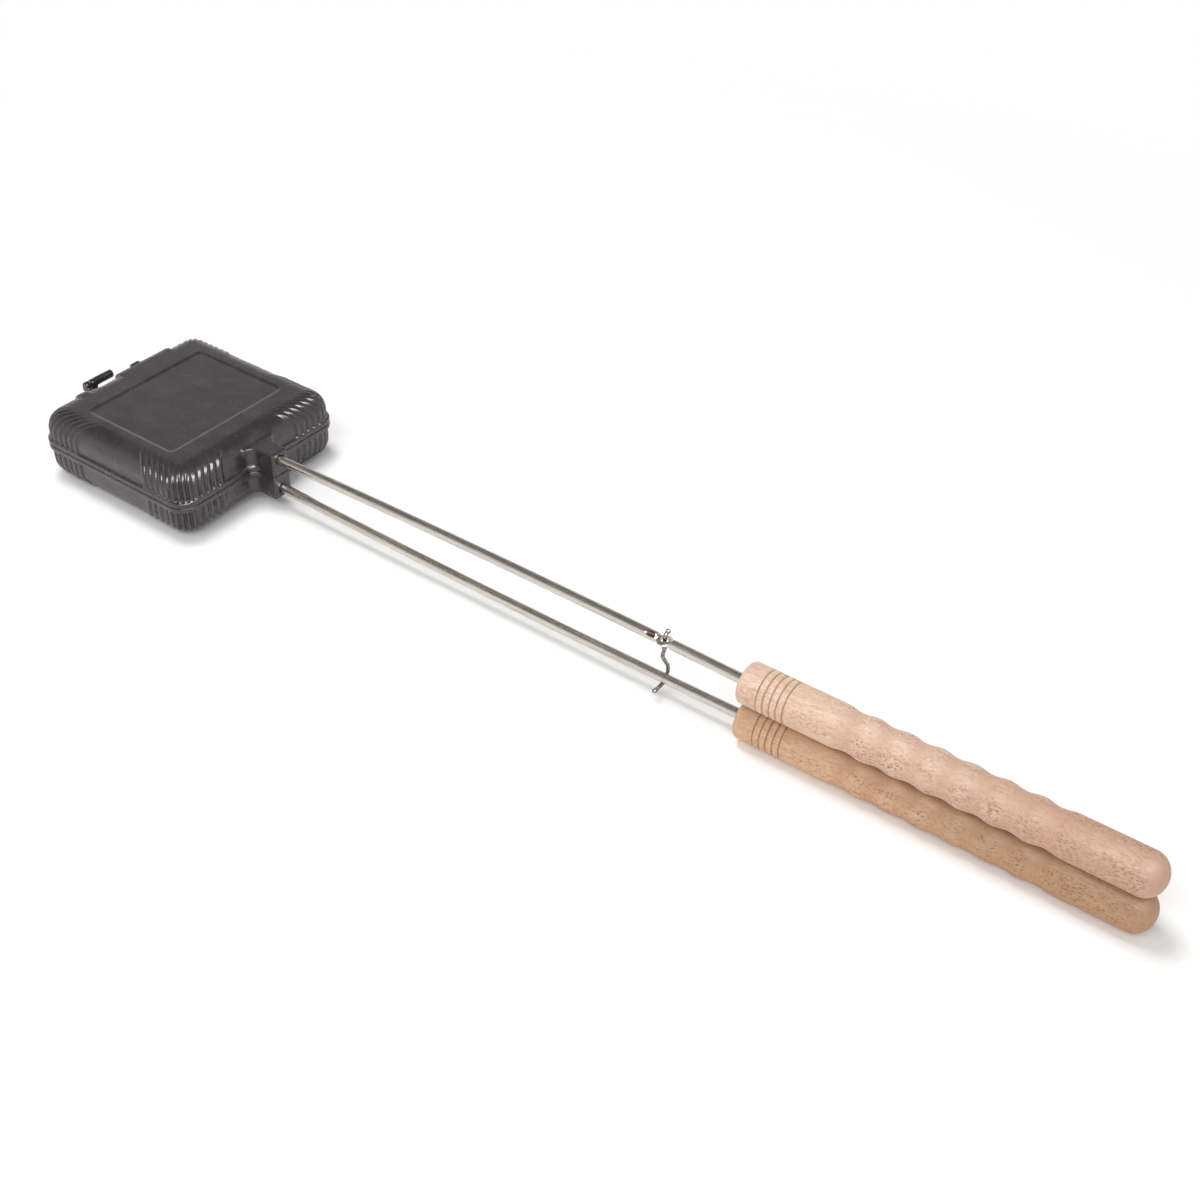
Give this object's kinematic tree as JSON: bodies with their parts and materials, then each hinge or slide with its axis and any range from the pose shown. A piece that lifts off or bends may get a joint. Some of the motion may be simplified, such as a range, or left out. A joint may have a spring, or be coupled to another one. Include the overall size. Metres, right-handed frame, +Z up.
{
  "type": "pie iron",
  "caption": "Hinged cast iron toasting mould with fluted corners, on long steel rods with turned wooden handles and a swinging wire latch that holds it shut.",
  "frame": {"origin": "centre of the lower shell's flat underside, with the iron closed and lying flat", "axes": "+X along the rods towards the handles, +Z up through the closed shells, +Y across the head along the hinge"},
  "size_m": [0.7379, 0.132, 0.0483],
  "materials": {
    "iron": "seasoned satin black",
    "steel": "drawn and plated, bright",
    "wire": "drawn wire, dull",
    "beech_tan": "sanded, unvarnished",
    "beech_pale": "sanded, unvarnished"
  },
  "bodies": {
    "lower": {"lower_shell": "iron", "lower_rod": "steel", "lower_handle": "beech_tan"},
    "upper": {"upper_shell": "iron", "upper_rod": "steel", "upper_handle": "beech_pale"},
    "latch": {"latch_hook": "wire"}
  },
  "joints": [
    {"name": "opening", "type": "hinge", "parent": "lower", "child": "upper", "pos_m": [-0.087, 0, 0.0282], "axis": [0, -1, 0], "range_deg": [0, 180]},
    {"name": "latch_swing", "type": "hinge", "parent": "upper", "child": "latch", "pos_m": [0.3665, 0, 0.03699], "axis": [1, 0, 0], "range_deg": [0, 38]}
  ]
}
